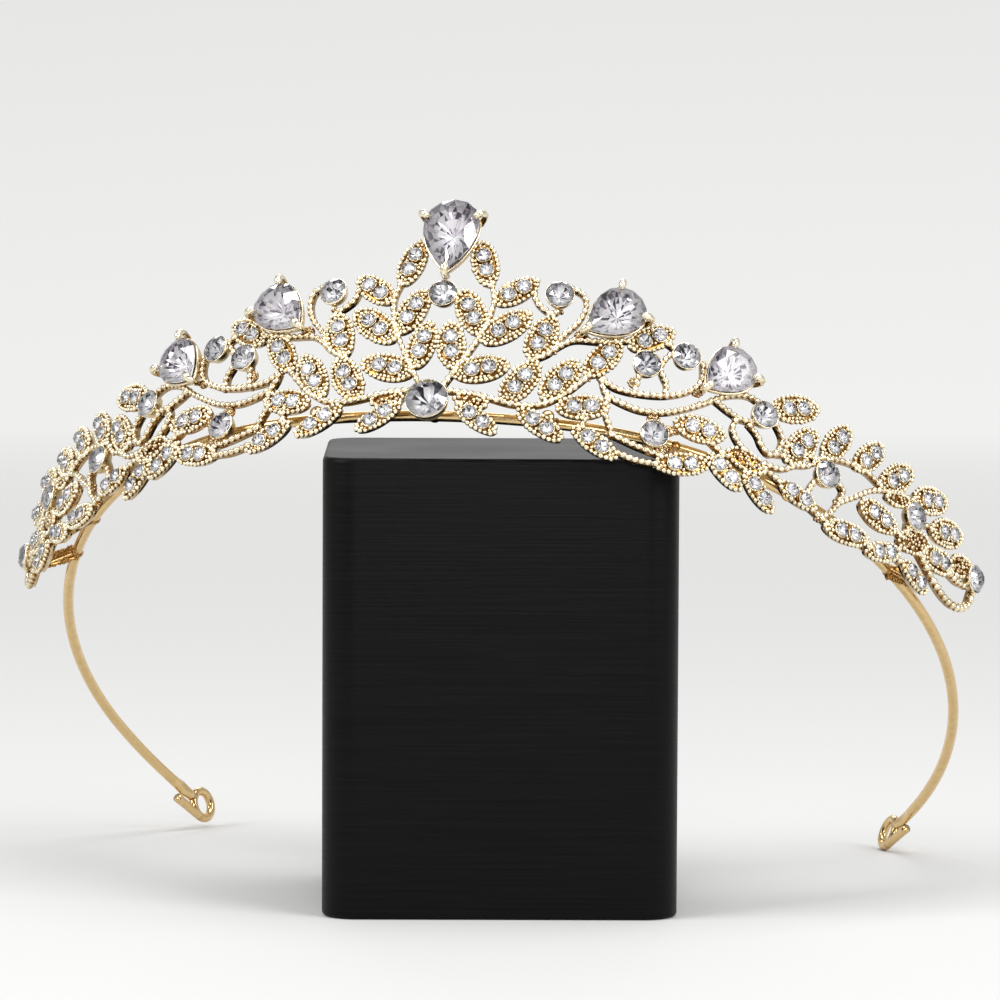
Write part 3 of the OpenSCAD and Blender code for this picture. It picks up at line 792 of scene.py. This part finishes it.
def add_tab(shape, p, mirror):
    """Broad grained tab that joins the casting's end to the band."""
    a, b = cast_point(p[0], p[1] + TAB_RAISED), band_point(p[2])
    along = (b - a) / np.linalg.norm(b - a)
    across = np.cross(along, [0, 0, 1.0])
    across /= np.linalg.norm(across)
    up = np.cross(across, along)
    section = circle(1.0, TAB_SIDES) * [TAB_THIN, TAB_WIDE]
    steps = np.linspace(0, 1, TAB_STEPS)
    points = [a + (b - a) * t + section[:, :1] * across + section[:, 1:] * up for t in steps]
    shape.add(np.vstack(points), turned(rings_to_faces(TAB_STEPS, TAB_SIDES)), TAB_SHADE, mirror=mirror)
    turn, step = random.uniform(0, 2 * math.pi, TAB_GRAINS), random.uniform(0, 1, TAB_GRAINS)
    around = GRAIN_THIN * np.cos(turn)[:, None] * across + GRAIN_WIDE * np.sin(turn)[:, None] * up
    centres = a + (b - a) * step[:, None] + around
    size = random.uniform(*TAB_GRAIN_SIZES, TAB_GRAINS)
    add_beads(shape, lambda c: c, centres, size, mirror, 1.0, extra_shade=TAB_GRAIN_SHADE)


# Materials
def new_material(name):
    m = bpy.data.materials.new(name)
    m.use_nodes = True
    nodes, links = m.node_tree.nodes, m.node_tree.links
    return m, nodes, links, nodes["Principled BSDF"]


def stored(nodes, name):
    """Value that the mesh holds under this name."""
    node = nodes.new("ShaderNodeAttribute")
    node.attribute_name = name
    return node.outputs["Fac"]


def ramp(nodes, links, source, stops):
    node = nodes.new("ShaderNodeValToRGB")
    while len(node.color_ramp.elements) < len(stops):
        node.color_ramp.elements.new(0.5)
    for element, (place, color) in zip(node.color_ramp.elements, stops):
        element.position = place
        element.color = (*color, 1)
    links.new(source, node.inputs["Fac"])
    return node.outputs["Color"]


def noise(nodes, links, scale, detail=3.0, stretch=(1, 1, 1)):
    place = nodes.new("ShaderNodeTexCoord")
    mapping = nodes.new("ShaderNodeMapping")
    mapping.inputs["Scale"].default_value = stretch
    node = nodes.new("ShaderNodeTexNoise")
    node.inputs["Scale"].default_value = scale
    node.inputs["Detail"].default_value = detail
    links.new(place.outputs["Object"], mapping.inputs["Vector"])
    links.new(mapping.outputs["Vector"], node.inputs["Vector"])
    return node.outputs["Fac"]


def multiply_add(nodes, links, source, factor, added):
    node = nodes.new("ShaderNodeMath")
    node.operation = "MULTIPLY_ADD"
    links.new(source, node.inputs[0])
    node.inputs[1].default_value = factor
    links.new(added, node.inputs[2])
    return node.outputs[0]


def set_roughness(nodes, links, shader, source, smooth, rough, low=0.0, high=1.0):
    """Roughness from smooth to rough while the source goes from low to high."""
    node = nodes.new("ShaderNodeMapRange")
    node.inputs["From Min"].default_value = low
    node.inputs["From Max"].default_value = high
    node.inputs["To Min"].default_value = smooth
    node.inputs["To Max"].default_value = rough
    links.new(source, node.inputs["Value"])
    links.new(node.outputs["Result"], shader.inputs["Roughness"])


def set_bump(nodes, links, shader, source, strength, distance):
    node = nodes.new("ShaderNodeBump")
    node.inputs["Strength"].default_value = strength
    node.inputs["Distance"].default_value = distance
    links.new(source, node.inputs["Height"])
    links.new(node.outputs["Normal"], shader.inputs["Normal"])


def gold_material(name, light, deep, rough, grain):
    """Gold painted darker towards the deep colour by the mesh's painted shade and in soft random patches,
    slightly uneven in gloss and surface.
    """
    m, nodes, links, shader = new_material(name)
    patch = noise(nodes, links, scale=900, detail=2.0)
    # Painted shade: the shade stored per point, plus soft random patches, sets how far the colour goes from
    # light to deep
    shade = multiply_add(nodes, links, patch, 0.5, stored(nodes, "recess"))
    between = tuple(0.5 * (a + b) for a, b in zip(light, deep))
    color = ramp(nodes, links, shade, [(0.2, light), (0.62, between), (1.2 / 1.3, deep)])
    links.new(color, shader.inputs["Base Color"])
    shader.inputs["Metallic"].default_value = 1.0
    gloss = noise(nodes, links, scale=1500, detail=2.0)
    set_roughness(nodes, links, shader, gloss, smooth=rough, rough=rough + 0.14, low=0.3, high=0.7)
    surface = noise(nodes, links, scale=4200)
    set_bump(nodes, links, shader, surface, strength=grain, distance=0.00008)
    return m


def clear_front(name, ior, facets):
    """Thin clear front that mirrors by angle, each facet a little differently."""
    m, nodes, links, shader = new_material(name)
    shader.inputs["Base Color"].default_value = (1, 1, 1, 1)
    shader.inputs["Metallic"].default_value = 1.0
    shader.inputs["Roughness"].default_value = 0.02
    gloss = nodes.new("ShaderNodeFresnel")
    gloss.inputs["IOR"].default_value = ior
    cover = multiply_add(nodes, links, stored(nodes, "painted_sparkle_and_mirror"), facets, gloss.outputs["Fac"])
    links.new(cover, shader.inputs["Alpha"])
    return m


def foiled_back(name, dark, middle, light, speckle):
    """Foiled back with painted reflections: each facet is painted a random shade from dark to light, with
    fine painted speckles of sparkle.
    """
    m, nodes, links, shader = new_material(name)
    place = nodes.new("ShaderNodeTexCoord")
    cells = nodes.new("ShaderNodeTexVoronoi")
    cells.inputs["Scale"].default_value = 2600
    links.new(place.outputs["Object"], cells.inputs["Vector"])
    grey = nodes.new("ShaderNodeSeparateColor")
    links.new(cells.outputs["Color"], grey.inputs["Color"])
    mix = nodes.new("ShaderNodeMix")
    mix.inputs["Factor"].default_value = speckle
    # Painted reflections: the random facet value and the cell speckles pick each facet's shade
    links.new(stored(nodes, "painted_sparkle_and_mirror"), mix.inputs["A"])
    links.new(grey.outputs["Red"], mix.inputs["B"])
    color = ramp(nodes, links, mix.outputs["Result"], [(0.18, dark), (0.36, middle), (0.6, light)])
    links.new(color, shader.inputs["Base Color"])
    shader.inputs["Metallic"].default_value = 0.15
    shader.inputs["Roughness"].default_value = 0.1
    return m


def stone_materials(name, ior, dark, middle, light, speckle, facets):
    return [clear_front(name, ior, facets), foiled_back(name + "_foil", dark, middle, light, speckle)]


def block_material():
    """Black with fine level brush lines."""
    m, nodes, links, shader = new_material("black_block")
    lines = noise(nodes, links, scale=60, detail=5.0, stretch=(1, 1, 55))
    shade = ramp(nodes, links, lines, [(0.3, (0.0015, 0.0015, 0.002)), (0.7, (0.004, 0.004, 0.0045))])
    shader.inputs["Specular IOR Level"].default_value = 0.1
    links.new(shade, shader.inputs["Base Color"])
    set_roughness(nodes, links, shader, lines, smooth=0.3, rough=0.5)
    set_bump(nodes, links, shader, lines, strength=0.25, distance=0.0002)
    return m


def floor_material():
    """Pale near the crown, and glowing by itself away from it."""
    m, nodes, links, shader = new_material("pale_floor")
    color = ramp(nodes, links, stored(nodes, "share"), [(0.0, (0.66, 0.66, 0.655)), (1.0, (0, 0, 0))])
    links.new(color, shader.inputs["Base Color"])
    shader.inputs["Roughness"].default_value = 0.85
    shader.inputs["Specular IOR Level"].default_value = 0.0
    shader.inputs["Emission Color"].default_value = (1, 1, 0.99, 1)
    links.new(stored(nodes, "glow"), shader.inputs["Emission Strength"])
    m.cycles.emission_sampling = "NONE"
    return m


GOLD = gold_material("pale_gold", light=(1.0, 0.925, 0.7), deep=(0.4, 0.22, 0.06), rough=0.14, grain=0.3)
GOLD_BACK = gold_material("cast_gold_back", light=(0.97, 0.83, 0.52), deep=(0.5, 0.3, 0.1), rough=0.34,
                          grain=0.8)
CAST = [GOLD, GOLD_BACK]
# Painted shade: the headband's gold is a darker copy of the cast gold
SHADED_WIRE_GOLD = gold_material("shaded_wire_gold", light=(0.8, 0.59, 0.3), deep=(0.45, 0.25, 0.08), rough=0.14,
                          grain=0.12)
CLEAR = stone_materials("clear_stone", ior=1.75, dark=(0.035, 0.032, 0.042), middle=(0.48, 0.46, 0.52),
                        light=(1.0, 0.99, 1.0), speckle=0.12, facets=0.3)
SMALL = stone_materials("small_stone", ior=1.7, dark=(0.08, 0.075, 0.085), middle=(0.8, 0.77, 0.82),
                        light=(1.0, 1.0, 1.0), speckle=0.1, facets=0.15)
PALE = stone_materials("pale_pear_stone", ior=1.75, dark=(0.09, 0.08, 0.11), middle=(0.8, 0.73, 0.81),
                       light=(1.0, 0.99, 1.0), speckle=0.15, facets=0.25)
BLACK = block_material()


# Pieces
def finish_piece(piece, slot, *nodes):
    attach(piece, "root")
    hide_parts(*nodes)


def make_leaves(side, mirror):
    leaves = Shape()
    for row in LEAVES:
        add_stone_leaf(leaves, row, mirror)
    for row in PLAIN_LEAVES:
        add_rough_leaf(leaves, row, mirror)
    finish_piece(leaves.make("crown_leaves_" + side, CAST), "gold_alloy", "crown_frame")


def make_vines(side, mirror):
    vines = Shape()
    for i, route in enumerate(VINES):
        if i == END_LOOP:
            add_vine(vines, route, mirror, END_LOOP_THICK, END_LOOP_PITCH)
        else:
            add_vine(vines, route, mirror)
        add_patch(vines, route[0], mirror)
        add_patch(vines, route[-1], mirror)
    for row in FILLS:
        add_fill(vines, row, mirror)
    finish_piece(vines.make("crown_vines_" + side, CAST), "gold_alloy", "crown_frame")


def make_leaf_stones(side, mirror):
    stones = Shape()
    for row in LEAVES:
        for x in STONE_PLACES:
            add_small_stone(stones, row, x, mirror)
    finish_piece(stones.make("leaf_brilliants_" + side, SMALL, False), "small_stone", "leaf_stones_" + side)


def make_round_stone(name, node, place, turn, r, out, girdle, mirror=False):
    stone = Shape()
    add_stone(stone, seat(place, turn, out), lambda t: round_point(t, r), np.zeros(2),
              RISE * 2 * r, DEPTH * 2 * r, girdle, TABLE, mirror, ROUND_ROWS, ROUND_BACK)
    finish_piece(stone.make(name, CLEAR, False), "clear_stone", node)


def make_pear_stone(name, node, p, mirror=False):
    stone = Shape()
    length, width = p[3:5]
    add_stone(stone, seat(p, p[2], PEAR_SEAT), lambda t: pear_point(t, length, width), pear_middle(length),
              RISE * width, DEPTH * width, LARGE_GIRDLE, TABLE, mirror, PEAR_ROWS, PEAR_BACK)
    finish_piece(stone.make(name, PALE, False), "pale_pear_stone", node)


def make_settings():
    settings = Shape()
    add_round_setting(settings, MIDDLE_AT, MIDDLE_R, MIDDLE_SEAT, False)
    add_round_setting(settings, UPPER_AT, ROUND_R, ROUND_SEAT, False)
    add_pear_setting(settings, TOP_PEAR, False)
    for mirror in (False, True):
        for place in ROUNDS:
            add_round_setting(settings, place, ROUND_R, ROUND_SEAT, mirror)
        for p in PEARS:
            add_pear_setting(settings, p, mirror)
    finish_piece(settings.make("crown_settings", CAST), "gold_alloy", "crown_frame")


def make_headband():
    band = Shape()
    add_band(band)
    add_eye(band, RIGHT)
    add_eye(band, LEFT)
    add_post(band, FRONT_POST)
    for mirror in (False, True):
        for row in POSTS:
            add_post(band, row, mirror)
        add_tab(band, POSTS[-1], mirror)
    finish_piece(band.make("headband_wire", [SHADED_WIRE_GOLD]), "gold_alloy", "crown_frame")


# Round at the block's top and bottom edges, and the points along it and along each upright edge
EDGE_ROUND, EDGE_POINTS, CORNER_POINTS = 0.7, 6, 13


def block_ring(inset, z):
    """Outline of the block, moved inwards by the inset."""
    w, d, r = BLOCK["w"] / 2 - inset, BLOCK["d"] / 2 - inset, BLOCK["edge"] - inset
    points = []
    for quarter, (sx, sy) in enumerate(((1, 1), (-1, 1), (-1, -1), (1, -1))):
        for angle in np.radians(np.linspace(0, 90, CORNER_POINTS)) + quarter * math.pi / 2:
            points.append([sx * (w - r) + r * math.cos(angle), sy * (d - r) + r * math.sin(angle), z])
    return points


def make_block():
    """Block with rounded upright edges and a small round at its top and bottom edges."""
    bend = np.radians(np.linspace(0, 90, EDGE_POINTS))
    rows = [(EDGE_ROUND * (1 - math.sin(a)), EDGE_ROUND * (1 - math.cos(a))) for a in bend]
    levels = rows + [(inset, BLOCK["h"] - z) for inset, z in rows[::-1]]
    x, y, z = np.array([p for inset, height in levels for p in block_ring(inset, height)]).T
    y = y + BLOCK["d"] / 2
    turn = math.radians(BLOCK["turn"])
    across = x * math.cos(turn) - y * math.sin(turn) + BLOCK["at"][0]
    deep = x * math.sin(turn) + y * math.cos(turn) + BLOCK["at"][1] + CROWN_Y
    points = np.stack([across, deep, z], 1) / MM_PER_M
    faces = rings_to_faces(len(levels), 4 * CORNER_POINTS)
    smooth = [len(f) == 4 for f in faces]
    finish_piece(new_piece("black_display_block", points.tolist(), faces, smooth, [BLACK]), "black_block",
                 "display_block")


for mirror, side in ((False, "right"), (True, "left")):
    make_leaves(side, mirror)
    make_vines(side, mirror)
    make_leaf_stones(side, mirror)
    for i, place in enumerate(ROUNDS):
        make_round_stone(f"round_brilliant_{side}_{i + 1}", f"round_stone_{side}_{i + 1}", place,
                         ROUND_TURN * i, ROUND_R, ROUND_SEAT, ROUND_GIRDLE, mirror)
    for i, p in enumerate(PEARS):
        make_pear_stone(f"pear_brilliant_{side}_{i + 1}", f"pear_stone_{side}_{i + 1}", p, mirror)
make_round_stone("middle_brilliant", "middle_stone", MIDDLE_AT, 0, MIDDLE_R, MIDDLE_SEAT, LARGE_GIRDLE)
make_round_stone("upper_brilliant", "upper_stone", UPPER_AT, 0, ROUND_R, ROUND_SEAT, LARGE_GIRDLE)
make_pear_stone("pear_brilliant_top", "pear_stone_top", TOP_PEAR)
make_settings()
make_headband()
make_block()

# Stage, light and camera, in metres
FLOOR_SIDES, FLOOR_R, FLOOR_BEND, WALL_TOP = 96, 1.25, 0.5, 2.4
INNER_RINGS, FLAT_RINGS, BEND_RINGS, BEND_START = [0.02, 0.15], 12, 15, 6
# Radius where the floor starts to glow, and the width over which it takes over from the lamps
GLOW_FROM, GLOW_OVER = 0.25, 0.8
# Glow at the sides, what it gains behind and loses in front, and its loss per metre of height up to a limit
GLOW, GLOW_BEHIND, GLOW_FALL, GLOW_HEIGHT = 0.68, 0.2, 0.45, 0.5
LIGHT_TARGET = (0, 0, 0.06)
# Lamps: name, place, width and height, power
LIGHTS = [
    ("key_left", (-0.6, -0.5, 0.6), (0.5, 0.5), 4.9),
    ("key_right", (0.65, -0.35, 0.5), (0.4, 0.5), 4.2),
    ("top", (0.05, -0.05, 0.8), (0.6, 0.35), 2.9),
    ("front", (0.2, -0.9, 0.3), (0.25, 0.25), 1.4),
    ("back", (-0.2, 0.75, 0.6), (0.5, 0.3), 1.6),
]
WORLD_COLOR, WORLD_STRENGTH = (0.75, 0.77, 0.8, 1), 0.2
# The camera fitted to the photo: focal length in sensor widths, place from the crown's centre in millimetres
SENSOR, FOCAL, CLIP_START = 36.0, 5.5256, 0.01
CAMERA_FROM_CROWN = (178.2, -817.8, 90.49)
CAMERA_RIGHT = Vector((0.97663, 0.2149, 0.00446))
CAMERA_DOWN = Vector((0.02072, -0.07343, -0.99708))
CAMERA_FORWARD = Vector((-0.21395, 0.97387, -0.07617))


def floor_profile():
    """Radius and height of the floor's rings, from its middle to the wall's top."""
    flat = [(r, 0.0) for r in (*INNER_RINGS, *np.linspace(GLOW_FROM, FLOOR_R, FLAT_RINGS))]
    bend = np.radians(np.linspace(BEND_START, 90, BEND_RINGS))
    curve = [(FLOOR_R + FLOOR_BEND * math.sin(a), FLOOR_BEND * (1 - math.cos(a))) for a in bend]
    return flat + curve + [(FLOOR_R + FLOOR_BEND, WALL_TOP)]


def make_floor():
    """Pale round floor that curves up into a wall. It glows by itself more and more away from the crown."""
    points, share, glow = [], [], []
    profile = floor_profile()
    for r, z in profile:
        part = min(1, max(0, (r - GLOW_FROM) / GLOW_OVER))
        for t in np.linspace(0, 2 * math.pi, FLOOR_SIDES, endpoint=False):
            points.append((r * math.cos(t), r * math.sin(t), z))
            share.append(part)
            glow.append(part * (GLOW + GLOW_BEHIND * math.sin(t) - GLOW_FALL * min(z, GLOW_HEIGHT)))
    faces = turned(rings_to_faces(len(profile), FLOOR_SIDES, caps=False)) + [list(range(FLOOR_SIDES))]
    floor = new_piece("floor", points, faces, [True] * len(faces), [floor_material()])
    add_attribute(floor, "share", "POINT", share)
    add_attribute(floor, "glow", "POINT", glow)


def make_world():
    world = bpy.data.worlds.new("studio")
    world.use_nodes = True
    background = world.node_tree.nodes["Background"]
    background.inputs["Color"].default_value = WORLD_COLOR
    background.inputs["Strength"].default_value = WORLD_STRENGTH
    bpy.context.scene.world = world


def area_light(name, place, size, power):
    data = bpy.data.lights.new(name, "AREA")
    data.shape = "RECTANGLE"
    data.size, data.size_y = size
    data.energy = power
    light = bpy.data.objects.new(name, data)
    light.location = place
    light.rotation_euler = (Vector(LIGHT_TARGET) - Vector(place)).to_track_quat("-Z", "Y").to_euler()
    light.visible_camera = False
    bpy.context.scene.collection.objects.link(light)


def make_camera():
    data = bpy.data.cameras.new("camera")
    data.sensor_width = SENSOR
    data.lens = SENSOR * FOCAL
    data.clip_start = CLIP_START
    camera = bpy.data.objects.new("camera", data)
    place = (Vector((0, CROWN_Y, CROWN_Z)) + Vector(CAMERA_FROM_CROWN)) / MM_PER_M
    turn = Matrix((CAMERA_RIGHT, -CAMERA_DOWN, -CAMERA_FORWARD)).transposed()
    camera.matrix_world = Matrix.Translation(place) @ turn.to_4x4()
    bpy.context.scene.collection.objects.link(camera)
    bpy.context.scene.camera = camera
    bpy.context.scene.view_settings.view_transform = "Standard"


make_floor()
make_world()
for lamp in LIGHTS:
    area_light(*lamp)
make_camera()
